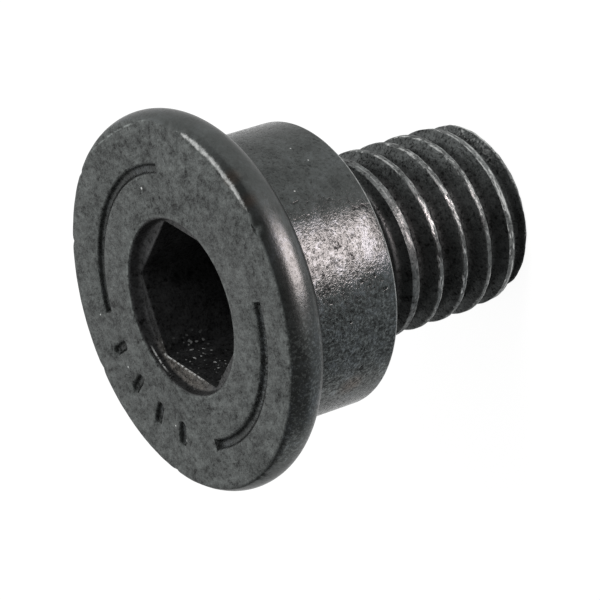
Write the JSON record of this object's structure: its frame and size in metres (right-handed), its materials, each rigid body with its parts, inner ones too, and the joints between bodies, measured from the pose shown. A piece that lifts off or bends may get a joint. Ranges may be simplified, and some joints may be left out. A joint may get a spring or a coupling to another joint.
{
  "type": "brake rotor bolt",
  "caption": "Socket head shoulder bolt that holds a brake rotor, with a thin round-edged head, a plain shoulder and a short metric thread.",
  "frame": {"origin": "centre of the flat end of the thread, on which the bolt stands", "axes": "+Z along the bolt's axis, from the thread's end towards the head; two corners of the hexagon socket lie on X and two of its flats face Y"},
  "size_m": [0.0156, 0.0156, 0.015],
  "materials": {
    "black_steel": "black oxide, dull on the face, with bright worn crests and edges"
  },
  "bodies": {
    "root": {"rotor_bolt": "black_steel"}
  },
  "joints": []
}
